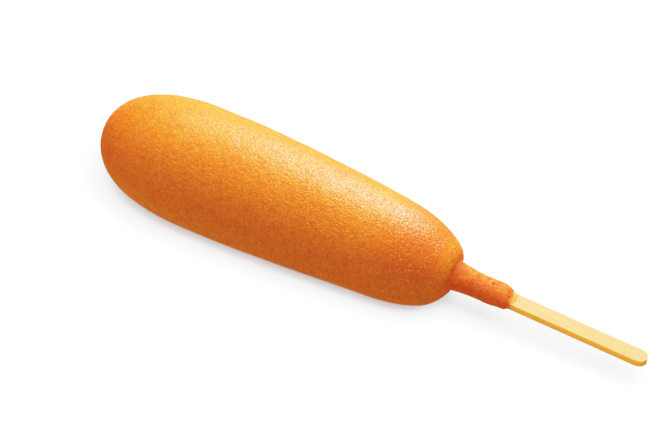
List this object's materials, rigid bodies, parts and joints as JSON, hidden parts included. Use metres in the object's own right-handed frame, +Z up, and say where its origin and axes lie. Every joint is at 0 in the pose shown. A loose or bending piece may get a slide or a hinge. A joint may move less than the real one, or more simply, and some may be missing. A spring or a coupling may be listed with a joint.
{
  "type": "corn dog",
  "caption": "Deep-fried cornmeal batter snack with a rounded head, narrowing to a thin collar round a flat wooden stick, lying on its side.",
  "frame": {"origin": "under the middle of the whole length, on the level that the corn dog lies on", "axes": "+X along the length from the rounded head to the bare end of the stick, +Y across, +Z up"},
  "size_m": [0.1896, 0.0396, 0.0391],
  "materials": {
    "fried_batter": "deep-fried cornmeal batter, golden brown, fine-grained with a soft oily sheen",
    "birch": "bare birch, sawn and tumbled smooth, with fine straight grain"
  },
  "bodies": {
    "root": {"batter": "fried_batter", "stick": "birch"}
  },
  "joints": []
}
